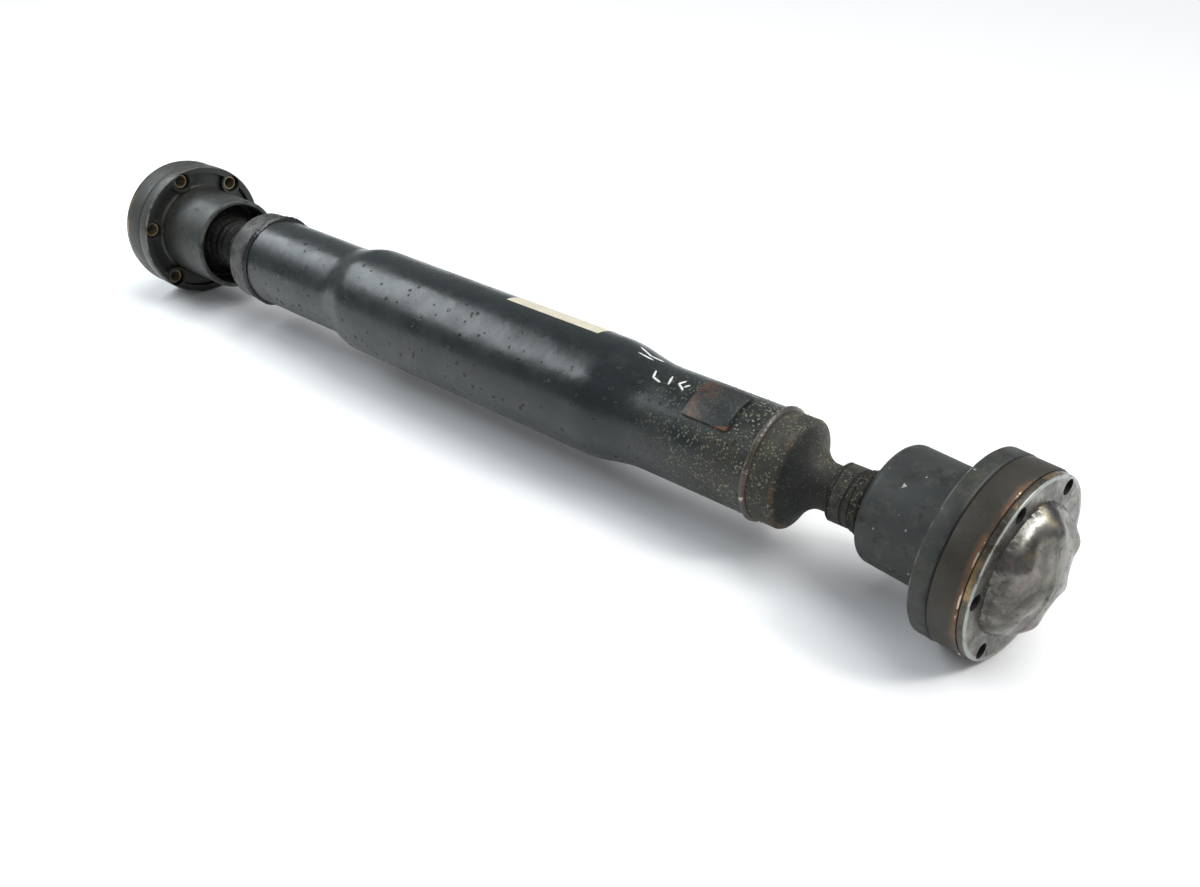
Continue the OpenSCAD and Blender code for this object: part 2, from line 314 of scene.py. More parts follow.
def grimy_stub(name, joint):
    """The stub shaft's neck, flare and shoulder, caked in mud and rusting at the edge."""
    p = Paint(name, specular=0.35)
    _, radius = p.station(joint)
    along = p.along_x()
    patch = p.noise(0.018, 6.0, 0.7)
    speck = speck_mask(p)
    olive = p.step(p.noise(0.011, 5.0, 0.75), 0.48, 0.66)
    colour = p.mix(patch, (0.010, 0.0105, 0.0095), (0.046, 0.044, 0.034))
    colour = p.mix(p.times(olive, 0.55), colour, (0.078, 0.074, 0.042))
    edge_x = SHAFT_X1 - 108.2 * MM
    edge = p.band(along, edge_x, 0.3 * MM, 1.0 * MM)
    edge = p.times(edge, p.step(radius, 27.5 * MM, 30 * MM))
    edge = p.times(edge, p.step(p.noise(0.012, 4.0, 0.7), 0.48, 0.62))
    colour = p.mix(p.times(edge, 0.65), colour, (0.085, 0.042, 0.020))
    worn = p.times(p.step(p.noise(0.016, 2.0), 0.62, 0.68), edge)
    colour = p.mix(worn, colour, (0.42, 0.36, 0.30))
    neck = p.step(radius, 12 * MM, 24 * MM, 0.7, 0.0)
    neck_rust = p.times(p.step(p.noise(0.007, 4.0, 0.7), 0.50, 0.68), neck)
    colour = p.mix(neck_rust, colour, (0.045, 0.024, 0.015))
    face = p.step(radius, 18 * MM, 29 * MM)
    face = p.times(face, p.step(along, edge_x + 0.4 * MM, edge_x + 1.8 * MM))
    colour = p.mix(p.times(face, 0.8), colour, (0.0045, 0.0055, 0.0070))
    colour = p.mix(p.times(speck, p.step(face, 0.0, 1.0, 0.62, 0.12)), colour, MUD_PALE)
    rough = p.step(patch, 0.3, 0.7, 0.45, 0.80)
    height = p.add(p.times(p.noise(0.0055, 6.0, 0.7), 1.4), speck)
    return p.finish(colour, rough, height, 0.45 * MM, 0.9)


def rough_collar():
    """The left stub shaft: a rough, stippled collar on a dark neck."""
    p = Paint("rough_collar", specular=0.55)
    _, radius = p.station(LEFT)
    grain = p.noise(0.0022, 6.0, 0.75)
    pores = p.step(p.cells(0.0034), 0.12, 0.22, 1.0, 0.0)
    patch = p.noise(0.013, 5.0, 0.65)
    collar = p.step(radius, 29 * MM, 31.5 * MM)
    pale = p.mix(p.step(patch, 0.40, 0.60), (0.008, 0.009, 0.009), (0.062, 0.064, 0.058))
    pale = p.mix(p.step(grain, 0.52, 0.70), pale, (0.013, 0.013, 0.012))
    pale = p.mix(p.times(pores, 0.7), pale, (0.004, 0.004, 0.004))
    colour = p.mix(collar, (0.004, 0.004, 0.004), pale)
    rough = p.step(grain, 0.3, 0.7, 0.30, 0.58)
    height = p.math("SUBTRACT", grain, p.times(pores, 0.5))
    return p.finish(colour, rough, height, 0.55 * MM, 0.9)


def weld_rust():
    """A dark rusty weld with worn bright spots and mud in its edges."""
    p = Paint("weld_rust", specular=0.6, coat=0.5, coat_roughness=0.22)
    patch = p.noise(0.010, 5.0, 0.65)
    bright = p.step(p.noise(0.011, 4.0, 0.65), 0.60, 0.65)
    colour = p.mix(patch, (0.010, 0.009, 0.006), (0.055, 0.034, 0.017))
    mud = p.step(p.noise(0.0045, 4.0), 0.50, 0.66)
    colour = p.mix(p.times(mud, 0.5), colour, (0.062, 0.058, 0.034))
    colour = p.mix(bright, colour, (0.40, 0.34, 0.27))
    rough = p.step(bright, 0.0, 1.0, 0.48, 0.20)
    metallic = p.step(bright, 0.0, 1.0, 0.1, 0.9)
    return p.finish(colour, rough, p.noise(0.0030, 5.0, 0.7), 0.4 * MM, 0.8, metallic)


def weld_black():
    """A weld that was painted over in gloss black."""
    p = Paint("weld_black", specular=0.5, coat=0.3, coat_roughness=0.15)
    patch = p.noise(0.008, 4.0)
    colour = p.mix(patch, (0.002, 0.002, 0.002), (0.008, 0.008, 0.008))
    return p.finish(colour, p.step(patch, 0.3, 0.7, 0.22, 0.42), p.noise(0.003, 3.0), 0.3 * MM, 0.6)


def housing_paint(name, joint, gloss, chip_share):
    """Dark grey paint of an adapter: blotched, dusty in its corners and chipped, with worn edges
    lightened partly by a painted highlight, and on the left adapter a painted shade on its back face.
    """
    p = Paint(name, specular=0.45)
    u, radius = p.station(joint)
    cloud = p.noise(0.035, 5.0, 0.6)
    mottle = p.noise(0.007, 6.0, 0.7)
    colour = p.mix(cloud, (0.0135, 0.0160, 0.0160), (0.030, 0.0335, 0.0315))
    colour = p.mix(p.times(p.step(mottle, 0.48, 0.70), 0.60), colour, (0.055, 0.054, 0.041))
    grime = p.step(p.noise(0.013, 6.0, 0.7), 0.52, 0.68)
    colour = p.mix(p.times(grime, 0.75), colour, (0.0075, 0.0070, 0.0050))
    dusty = p.times(p.step(p.noise(0.020, 6.0, 0.75), 0.55, 0.70), 0.35)
    colour = p.mix(dusty, colour, (0.095, 0.092, 0.066))
    corner = p.band(u, -14.5 * MM, 2.5 * MM, 5 * MM)
    colour = p.mix(p.times(corner, p.step(mottle, 0.35, 0.65, 0.1, 0.5)), colour, (0.045, 0.043, 0.030))
    if joint is LEFT:
        # Painted shade: on the left adapter, the back face between the can and the rim is darkened.
        painted_back_shade = p.times(p.band(u, -14.0 * MM, 2.3 * MM, 0.8 * MM), p.step(radius, 35 * MM, 37 * MM))
        painted_back_shade = p.times(painted_back_shade, p.step(radius, 49.6 * MM, 48.8 * MM))
        colour = p.mix(p.times(painted_back_shade, 0.75), colour, (0.0060, 0.0065, 0.0065))
    chips = p.step(p.cells(0.0125), 0.045, 0.075, 1.0, 0.0)
    chips = p.times(chips, p.step(p.noise(0.016, 2.0), 0.54, 0.60))
    fine_chips = p.step(p.cells(0.0042), 0.07, 0.13, 1.0, 0.0)
    fine_chips = p.times(fine_chips, p.step(p.noise(0.009, 3.0), 0.56, 0.64))
    chips = p.times(p.most(chips, fine_chips), chip_share)
    # Worn paint and painted highlight: the rim edge and the can's mouth are lightened, more on the
    # glossier left adapter.
    rim = p.times(p.band(u, -16.0 * MM, 0.30 * MM, 0.6 * MM), p.step(radius, 48.6 * MM, 49.4 * MM))
    mouth_u = (-61.8 if joint is LEFT else -60.4) * MM
    mouth = p.step(u, mouth_u, mouth_u - 0.8 * MM)
    wear_and_highlight = p.times(p.most(rim, p.times(mouth, 0.45)), p.step(p.noise(0.008, 4.0), 0.40, 0.62))
    colour = p.mix(p.times(wear_and_highlight, 0.6 + gloss), colour, (0.17, 0.175, 0.165))
    colour = p.mix(chips, colour, (0.26, 0.27, 0.26))
    rough = p.step(cloud, 0.3, 0.7, 0.44 - gloss, 0.62 - gloss)
    rough = p.add(rough, p.times(grime, 0.15))
    height = p.add(p.times(p.noise(0.0025, 5.0, 0.65), 0.5), p.times(p.noise(0.02, 2.0), 0.8))
    height = p.math("SUBTRACT", height, p.times(chips, 0.5))
    return p.finish(colour, rough, height, 0.3 * MM, 0.7)


def rusty_race(name, joint, brown):
    """Bare forged steel. brown is how far it has rusted, which is worst towards the cap."""
    p = Paint(name, specular=0.5)
    u, _ = p.station(joint)
    cloud = p.noise(0.022, 6.0, 0.65)
    streak = p.noise(0.006, 5.0, 0.7, at=p.stretched((1.0, 0.45, 0.45)))
    grey = p.mix(cloud, (0.018, 0.020, 0.020), (0.050, 0.053, 0.050))
    rusty = p.mix(cloud, (0.014, 0.0125, 0.009), (0.044, 0.037, 0.026))
    colour = p.mix(p.times(p.step(streak, 0.2, 0.5, 0.8, 1.0), brown), grey, rusty)
    colour = p.mix(p.times(p.step(streak, 0.50, 0.70), 0.5), colour, (0.034, 0.032, 0.028))
    near_cap = p.step(p.add(u, p.times(p.noise(0.009, 4.0), 4.0 * MM)), 7.5 * MM, 10.6 * MM)
    fresh = p.times(near_cap, p.step(p.noise(0.024, 3.0), 0.44, 0.58))
    colour = p.mix(p.times(fresh, 0.75 * brown), colour, (0.135, 0.066, 0.029))
    spots = p.step(p.noise(0.010, 5.0, 0.7), 0.64, 0.74)
    colour = p.mix(p.times(spots, 0.45 * brown), colour, (0.095, 0.046, 0.020))
    scrape = p.times(p.band(u, 8.8 * MM, 0.15 * MM, 0.35 * MM), p.step(p.noise(0.012, 4.0), 0.55, 0.60))
    colour = p.mix(scrape, colour, (0.50, 0.42, 0.33))
    rough = p.step(cloud, 0.3, 0.7, 0.38, 0.62)
    rough = p.math("SUBTRACT", rough, p.times(scrape, 0.2))
    metallic = p.step(scrape, 0.0, 1.0, 0.25, 0.9)
    height = p.add(p.noise(0.0035, 6.0, 0.7), p.times(streak, 0.5))
    return p.finish(colour, rough, height, 0.3 * MM, 0.8, metallic)


def cap_metal(name, joint):
    """Zinc-plated pressed steel, dulled, stained and scratched, brighter at the rim, with painted shade
    on its underside and in its bolt holes.
    """
    p = Paint(name, specular=0.5)
    u, radius = p.station(joint)
    cloud = p.noise(0.018, 5.0, 0.6, 0.4)
    stain = p.noise(0.008, 6.0, 0.72, 0.5)
    colour = p.mix(p.step(cloud, 0.35, 0.65), (0.075, 0.073, 0.063), (0.205, 0.199, 0.178))
    yellow = p.step(p.noise(0.014, 4.0, 0.6), 0.56, 0.68)
    colour = p.mix(p.times(yellow, 0.40), colour, (0.24, 0.20, 0.10))
    skirt = p.times(p.step(radius, 45 * MM, 36 * MM), p.step(u, 26 * MM, 14 * MM))
    colour = p.mix(p.times(skirt, p.step(stain, 0.42, 0.60, 0.05, 0.75)), colour, (0.036, 0.033, 0.028))
    mottled = p.step(p.noise(0.0026, 6.0, 0.75), 0.48, 0.66)
    colour = p.mix(p.times(mottled, 0.35), colour, (0.055, 0.050, 0.048))
    dark = p.step(p.noise(0.0050, 6.0, 0.80, 0.9), 0.56, 0.63)
    colour = p.mix(p.times(dark, 0.8), colour, (0.022, 0.019, 0.018))
    purple = p.step(p.noise(0.020, 3.0), 0.55, 0.68)
    colour = p.mix(p.times(purple, 0.20), colour, (0.24, 0.16, 0.19))
    side = p.step(u, 12.9 * MM, 12.5 * MM)
    side = p.times(side, p.step(radius, 47.9 * MM, 48.4 * MM))
    rim = p.times(p.step(radius, 45.6 * MM, 47.4 * MM), p.step(stain, 0.38, 0.50, 0.25, 1.0))
    colour = p.mix(p.times(rim, 0.7), colour, (0.40, 0.44, 0.41))
    gold = p.step(p.noise(0.017, 3.0), 0.52, 0.60)
    colour = p.mix(p.times(side, 0.85), colour, (0.050, 0.038, 0.024))
    colour = p.mix(p.times(p.times(side, gold), 0.8), colour, (0.30, 0.21, 0.11))
    scratch = p.step(p.cells(0.011, at=p.stretched((6.0, 0.3, 1.0))), 0.008, 0.03, 1.0, 0.0)
    colour = p.mix(p.times(scratch, 0.4), colour, (0.60, 0.60, 0.58))
    # Painted shade: below the face, on the underside and in the bolt holes, the cap is nearly black and
    # not metallic.
    hole_shade = p.times(p.step(u, 13.05 * MM, 12.7 * MM), p.step(radius, 47.9 * MM, 47.6 * MM))
    colour = p.mix(p.times(hole_shade, 0.93), colour, (0.012, 0.011, 0.010))
    rough = p.step(stain, 0.3, 0.7, 0.20, 0.42)
    rough = p.add(rough, p.times(p.most(dark, hole_shade), 0.3))
    metallic = p.step(p.most(dark, hole_shade), 0.0, 1.0, 0.88, 0.2)
    height = p.add(p.times(p.noise(0.0040, 5.0, 0.65), 0.35), p.times(p.noise(0.016, 2.0), 1.0))
    return p.finish(colour, rough, height, 0.22 * MM, 0.6, metallic)


def rubber(name, dust):
    """Matt black rubber under a film of dust."""
    p = Paint(name, specular=0.3)
    film = p.times(p.step(p.noise(0.007, 6.0, 0.72), 0.42, 0.66), dust)
    colour = p.mix(film, (0.0045, 0.0045, 0.0042), (0.040, 0.038, 0.030))
    speck = p.times(speck_mask(p), dust)
    colour = p.mix(p.times(speck, 0.5), colour, MUD_PALE)
    height = p.add(p.times(p.noise(0.0030, 6.0, 0.75), 1.6), p.times(speck, 0.6))
    return p.finish(colour, p.step(film, 0.0, 1.0, 0.55, 0.85), height, 0.5 * MM, 0.9)


def grimy_band(name, joint):
    """Steel band under lumpy dried grime, with a dented groove along each edge, darkened as painted
    shade.
    """
    p = Paint(name, metallic=0.2, specular=0.45)
    u, _ = p.station(joint)
    patch = p.noise(0.0055, 6.0, 0.75)
    speck = speck_mask(p)
    colour = p.mix(p.step(patch, 0.35, 0.68), (0.007, 0.007, 0.006), (0.052, 0.049, 0.037))
    colour = p.mix(p.times(speck, 0.5), colour, MUD_PALE)
    from_middle = p.math("ABSOLUTE", p.math("SUBTRACT", u, -77.5 * MM))
    # Painted shade: a near-black line along each edge of the band, where the groove is dented in by the
    # bump.
    groove_shade = p.band(from_middle, 4.7 * MM, 0.35 * MM, 0.6 * MM)
    colour = p.mix(p.times(groove_shade, 0.9), colour, (0.003, 0.003, 0.003))
    height = p.math("SUBTRACT", p.add(patch, speck), groove_shade)
    return p.finish(colour, p.step(patch, 0.3, 0.7, 0.45, 0.8), height, 0.9 * MM, 1.0)


def ground_steel():
    """Oiled ground steel of the bearing parts."""
    p = Paint("ground_steel", metallic=0.9)
    film = p.noise(0.010, 4.0)
    colour = p.mix(film, (0.24, 0.235, 0.22), (0.46, 0.455, 0.44))
    lines = p.noise(0.0020, 3.0, at=p.stretched((4.0, 1.0, 1.0)))
    return p.finish(colour, p.step(film, 0.3, 0.7, 0.16, 0.34), lines, 0.08 * MM, 0.4)


def yellow_zinc(name, joint):
    """Clamping sleeves in dulled yellow zinc, painted black as shade towards the cap, deep in the holes.
    """
    p = Paint(name, specular=0.5)
    u, _ = p.station(joint)
    film = p.noise(0.004, 5.0, 0.7)
    # Painted shade: towards the cap, beyond u = -8 to -4 mm, the sleeves turn black and less metallic,
    # deep in the holes.
    zinc_not_shaded = p.step(u, -4.0 * MM, -8.0 * MM)
    colour = p.mix(film, (0.20, 0.16, 0.09), (0.60, 0.50, 0.32))
    colour = p.mix(zinc_not_shaded, (0.006, 0.006, 0.005), colour)
    rough = p.step(film, 0.3, 0.7, 0.28, 0.5)
    return p.finish(colour, rough, film, 0.15 * MM, 0.5, p.step(zinc_not_shaded, 0.0, 1.0, 0.1, 0.85))


def sealing():
    """Thin black gasket edge."""
    p = Paint("sealing", specular=0.3)
    film = p.noise(0.003, 4.0)
    colour = p.mix(film, (0.004, 0.004, 0.004), (0.016, 0.015, 0.013))
    return p.finish(colour, p.step(film, 0.3, 0.7, 0.5, 0.8))


def aged_paper():
    """Cream label paper, foxed and dirty, with no print on it."""
    p = Paint("aged_paper", specular=0.35)
    fibre = p.noise(0.0012, 4.0)
    stain = p.noise(0.012, 5.0, 0.65)
    colour = p.mix(stain, (0.40, 0.36, 0.25), (0.72, 0.69, 0.57))
    dirt = p.step(p.noise(0.005, 6.0, 0.75), 0.60, 0.72)
    colour = p.mix(p.times(dirt, 0.6), colour, (0.10, 0.09, 0.06))
    return p.finish(colour, p.step(stain, 0.3, 0.7, 0.42, 0.62), fibre, 0.05 * MM, 0.5)


def white_marker():
    """Hand-brushed white paint, thin where the brush ran dry."""
    p = Paint("white_marker", specular=0.4)
    dry = p.noise(0.0016, 4.0, 0.7)
    colour = p.mix(p.step(dry, 0.30, 0.55), (0.30, 0.31, 0.30), (0.80, 0.81, 0.78))
    return p.finish(colour, p.step(dry, 0.3, 0.7, 0.4, 0.6), dry, 0.05 * MM, 0.5)


def weight_plate(x_end, z_low):
    """Blued steel plate, rusty at its left end and in the corner at x_end and z_low."""
    p = Paint("weight_plate", metallic=0.2, specular=0.5)
    cloud = p.noise(0.009, 5.0, 0.65)
    along = p.along_x()
    colour = p.mix(cloud, (0.010, 0.013, 0.014), (0.028, 0.034, 0.034))
    left_end = p.step(along, x_end - 12 * MM, x_end - 24 * MM)
    patches = p.times(p.step(p.noise(0.012, 5.0, 0.72), 0.38, 0.52), left_end)
    colour = p.mix(p.times(patches, 0.85), colour, (0.080, 0.040, 0.022))
    slope = p.add(p.times(p.math("SUBTRACT", x_end, along), 0.26), p.math("SUBTRACT", p.up_z(), z_low))
    slope = p.add(slope, p.times(p.noise(0.006, 4.0), 1.2 * MM))
    corner = p.step(slope, 3.9 * MM, 4.2 * MM, 1.0, 0.0)
    colour = p.mix(p.times(corner, 0.9), colour, (0.130, 0.060, 0.028))
    speck = speck_mask(p)
    colour = p.mix(p.times(speck, 0.22), colour, MUD_PALE)
    return p.finish(colour, p.step(cloud, 0.3, 0.7, 0.36, 0.62), p.noise(0.004, 5.0, 0.7), 0.25 * MM, 0.7)


def dried_mud():
    """Crumbs of dried mud."""
    p = Paint("dried_mud", specular=0.25)
    tone = p.noise(0.009, 4.0, 0.7)
    colour = p.mix(p.step(tone, 0.3, 0.75), (0.030, 0.027, 0.017), (0.17, 0.16, 0.115))
    return p.finish(colour, p.step(tone, 0.3, 0.7, 0.75, 0.95), p.noise(0.0008, 3.0), 0.1 * MM, 0.6)


# --------------------------------------------------------------- mesh helpers

def mesh_object(name, vertices, faces, material, smooth=True):
    data = bpy.data.meshes.new(name)
    data.from_pydata([tuple(v) for v in vertices], [], faces)
    data.validate()
    piece = bpy.data.objects.new(name, data)
    bpy.context.scene.collection.objects.link(piece)
    data.materials.append(material)
    data.polygons.foreach_set("use_smooth", [smooth] * len(data.polygons))
    return piece


def face_outwards(piece):
    """Makes a closed mesh's faces point out."""
    shape = bmesh.new()
    shape.from_mesh(piece.data)
    bmesh.ops.recalc_face_normals(shape, faces=shape.faces)
    shape.to_mesh(piece.data)
    shape.free()


def apply_modifiers(piece):
    """Turns a piece's modifiers into mesh."""
    bpy.context.view_layer.update()
    result = bpy.data.meshes.new_from_object(piece.evaluated_get(bpy.context.evaluated_depsgraph_get()))
    piece.modifiers.clear()
    piece.data = result


def between(near, far, sides):
    """Quads between two rings of points, which start at the indices near and far."""
    following = [(j + 1) % sides for j in range(sides)]
    return [(near + j, near + k, far + k, far + j) for j, k in enumerate(following)]


def ring_faces(rows, sides):
    """Quads between rings of points, row after row, with the last row joined to the first."""
    faces = []
    for i in range(rows):
        faces.extend(between(i * sides, (i + 1) % rows * sides, sides))
    return faces


def smoothstep(value, low, high):
    t = min(1.0, max(0.0, (value - low) / (high - low)))
    return t * t * (3 - 2 * t)


# ------------------------------------------------------------- CAD nodes' looks

def dress(node, material, sharp=30, bevel=0.0):
    """Gives a CAD node its material, smooth shading and softly broken edges."""
    piece = frame["nodes"][node]
    piece.data.materials.clear()
    piece.data.materials.append(material)
    piece.data.polygons.foreach_set("use_smooth", [True] * len(piece.data.polygons))
    weld = piece.modifiers.new("weld", "WELD")
    weld.merge_threshold = 0.002 * MM
    if bevel:
        edges = piece.modifiers.new("bevel", "BEVEL")
        edges.width = bevel
        edges.segments = 2
        edges.limit_method = "ANGLE"
        edges.angle_limit = math.radians(sharp)
    split = piece.modifiers.new("split", "EDGE_SPLIT")
    split.split_angle = math.radians(sharp)


# ------------------------------------------------------------------- end caps

CAP_R = 48.6 * MM
CAP_IN_U = 9.75 * MM
DOME_R = 34.9 * MM
LOBE = 0.9 * MM
DOME_H = 16.6 * MM
# Dents in a dome: share of the dome's radius, angle in degrees, width and depth
RIGHT_DENTS = [(0.60, 176, 5.0 * MM, 0.8 * MM), (0.66, 232, 6.0 * MM, 0.8 * MM),
               (0.45, 20, 8.0 * MM, 0.5 * MM), (0.70, 112, 4.0 * MM, 0.6 * MM)]
LEFT_DENTS = [(0.45, 70, 8.0 * MM, 0.7 * MM), (0.70, 300, 5.0 * MM, 0.5 * MM)]


def dome_height(joint, radius, angle, dents):
    """Height of the pressed cap above its flat rim."""
    nearest = math.cos(BOLTS * (angle - joint.bolt_angle - BALL_OFFSET))
    share = radius / (DOME_R + LOBE * nearest)
    height = DOME_H * (1 - share * share) ** 0.6 if share < 1 else 0.0
    for k in range(BOLTS):
        centre = joint.bolt_angle + BALL_OFFSET + k * math.tau / BOLTS
        across = radius * math.sin(angle - centre)
        along = radius * math.cos(angle - centre) - 26.0 * MM
        height += 2.0 * MM * math.exp(-(across / (5.8 * MM)) ** 2 - (along / (5.6 * MM)) ** 2)
    right = radius * math.cos(angle)
    up = radius * math.sin(angle)
    dished = 1 - smoothstep(radius, 22 * MM, 30 * MM)
    crease = 1 - smoothstep(right + 5 * MM - 0.15 * up, -1.4 * MM, 0.4 * MM)
    height -= 0.9 * MM * crease * dished
    unevenness = noise.noise(Vector((right * 75, up * 75, joint.bolt_angle)))
    height += 0.35 * MM * unevenness * min(1.0, height / (4 * MM))
    for share_r, degrees, width, depth in dents:
        dent_angle = math.radians(degrees)
        place = Vector((math.cos(dent_angle), math.sin(dent_angle))) * share_r * DOME_R
        gap = (Vector((right, up)) - place).length
        height -= depth * math.exp(-(gap / width) ** 2)
    return max(0.0, height) * (1 - smoothstep(radius, 37.5 * MM, 41 * MM))


def end_cap(joint, dents, material):
    """A pressed cap with a domed middle, a bulge for each ball and six bolt holes."""
    sides = 240
    sheet = 1.5 * MM
    rim_back_r = 36.6 * MM
    hollow_r = 35.2 * MM
    radii = [CAP_R * (i + 1) / 62 for i in range(60)]
    radii = [r for r in radii if r < CAP_R - 0.6 * MM] + [CAP_R - 0.45 * MM]
    vertices = [joint.point(FACE_U + dome_height(joint, 0.0, 0.0, dents), 0.0, 0.0)]
    faces = []

    def add_row(u_of, radius):
        start = len(vertices)
        for j in range(sides):
            angle = math.tau * j / sides
            vertices.append(joint.point(u_of(radius, angle), radius, angle))
        return start

    def outside_u(radius, angle):
        return FACE_U + dome_height(joint, radius, angle, dents)

    def inside_u(radius, angle):
        return max(CAP_IN_U, outside_u(radius, angle) - sheet)

    rows = [add_row(outside_u, r) for r in radii]
    faces.extend((0, rows[0] + j, rows[0] + (j + 1) % sides) for j in range(sides))
    rows.append(add_row(lambda r, a: FACE_U - 0.15 * MM, CAP_R - 0.12 * MM))
    rows.append(add_row(lambda r, a: FACE_U - 0.5 * MM, CAP_R))
    rows.append(add_row(lambda r, a: CAP_IN_U, CAP_R))
    rows.append(add_row(lambda r, a: CAP_IN_U, rim_back_r))
    inner = [r for r in reversed(radii) if r < hollow_r]
    rows.extend(add_row(inside_u, r) for r in inner)
    for a, b in zip(rows, rows[1:]):
        faces.extend(between(a, b, sides))
    centre = len(vertices)
    vertices.append(joint.point(outside_u(0.0, 0.0) - sheet, 0.0, 0.0))
    faces.extend((centre, rows[-1] + (j + 1) % sides, rows[-1] + j) for j in range(sides))
    piece = mesh_object(joint.side + "_pressed_cap", vertices, faces, material)
    face_outwards(piece)
    drill = bolt_drill(joint)
    cut = piece.modifiers.new("holes", "BOOLEAN")
    cut.operation = "DIFFERENCE"
    cut.solver = "EXACT"
    cut.object = drill
    apply_modifiers(piece)
    bpy.data.objects.remove(drill, do_unlink=True)
    piece.data.polygons.foreach_set("use_smooth", [True] * len(piece.data.polygons))
    split = piece.modifiers.new("split", "EDGE_SPLIT")
    split.split_angle = math.radians(38)
    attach(piece, joint.side + "_flange")
    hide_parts(joint.side + "_end_cap")


def bolt_drill(joint):
    """Six rods on the bolt circle, which cut the cap's holes."""
    sides = 40
    vertices = []
    faces = []
    for k in range(BOLTS):
        centre_angle = joint.bolt_angle + k * math.tau / BOLTS
        start = len(vertices)
        for u in (CAP_IN_U - 2 * MM, FACE_U + 12 * MM):
            hub = joint.point(u, BOLT_CIRCLE_R, centre_angle)
            out = (joint.point(u, BOLT_CIRCLE_R + MM, centre_angle) - hub).normalized()
            side = joint.axis.cross(out)
            for j in range(sides):
                a = math.tau * j / sides
                vertices.append(hub + (out * math.cos(a) + side * math.sin(a)) * BOLT_HOLE_R)
        top = start + sides
        faces.extend(between(start, top, sides))
        faces.append([start + j for j in reversed(range(sides))])
        faces.append([top + j for j in range(sides)])
    drill = mesh_object(joint.side + "_drill", vertices, faces, bpy.data.materials.new("drill"))
    face_outwards(drill)
    return drill


# --------------------------------------------------------------------- welds

def weld_bead(name, centre_x, width, height, seed, material, node):
    """A bead laid round the tube in overlapping ripples, uneven in width and height."""
    sides = 360
    across = 14
    vertices = []
    for j in range(sides):
        angle = math.tau * j / sides
        spin = Vector((math.cos(angle), math.sin(angle), seed))
        wander = noise.noise(spin * 2.2) * 0.10 * width
        swell = 1 + 0.30 * noise.noise(spin * 3.1 + Vector((5, 0, 0)))
        ripple = 1 + 0.035 * math.sin(angle * 61 + 9 * noise.noise(spin * 2.7))
        for i in range(across + 1):
            t = i / across
            spot = Vector((math.cos(angle) * 9, math.sin(angle) * 9, t * 4 + seed))
            rough = 1 + 0.10 * noise.noise(spot)
            bulge = height * math.sin(math.pi * t) ** 0.8 * swell * ripple * rough
            x = centre_x + wander + width * (t - 0.5) * (0.92 + 0.12 * swell)
            radius = TUBE_R - 0.25 * MM + bulge
            vertices.append(Vector((x, radius * math.cos(angle), radius * math.sin(angle))))
    rows = across + 1
    faces = [(j * rows + i, j * rows + i + 1, (j + 1) % sides * rows + i + 1, (j + 1) % sides * rows + i)
             for j in range(sides) for i in range(across)]
    faces += [(j * rows + across, j * rows, (j + 1) % sides * rows, (j + 1) % sides * rows + across)
              for j in range(sides)]
    piece = mesh_object(name, vertices, faces, material)
    face_outwards(piece)
    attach(piece, "shaft")
    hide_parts(node)


# --------------------------------------------------------------------- boots

# A boot's outline as (u, radius) in millimetres
NECK_GAP_R = 13.05
BOOT_OUTSIDE = [(-84.6, NECK_GAP_R), (-84.6, 15.7), (-84.0, 16.2), (-83.2, 16.0), (-82.85, 15.2),
                (-77.5, 15.2), (-72.15, 15.2), (-71.9, 16.1), (-71.0, 16.9), (-69.8, 16.4),
                (-68.6, 17.7), (-67.2, 18.2),
                (-65.8, 17.3), (-64.4, 17.0), (-62.6, 18.3), (-61.0, 18.2), (-59.4, 17.8), (-57.0, 19.3),
                (-54.5, 20.3), (-52.0, 21.4), (-50.0, 22.2), (-48.0, 24.0), (-46.6, 26.2), (-45.2, 27.0),
                (-42.0, 27.2), (-38.2, 27.2)]
BOOT_INSIDE = [(-38.2, 25.2), (-42.0, 25.2), (-44.6, 25.0), (-46.0, 23.4), (-48.0, 21.9), (-50.0, 20.6),
               (-54.5, 18.9), (-59.0, 16.4), (-62.6, 16.6), (-64.4, 15.5), (-67.2, 16.3), (-69.8, 14.8),
               (-72.15, NECK_GAP_R), (-78.0, NECK_GAP_R)]


def dense(outline, parts):
    """More points along a closed outline, keeping its corners."""
    points = []
    for a, b in zip(outline, outline[1:] + outline[:1]):
        run, rise = b[0] - a[0], b[1] - a[1]
        points += [(a[0] + run * k / parts, a[1] + rise * k / parts) for k in range(parts)]
    return points


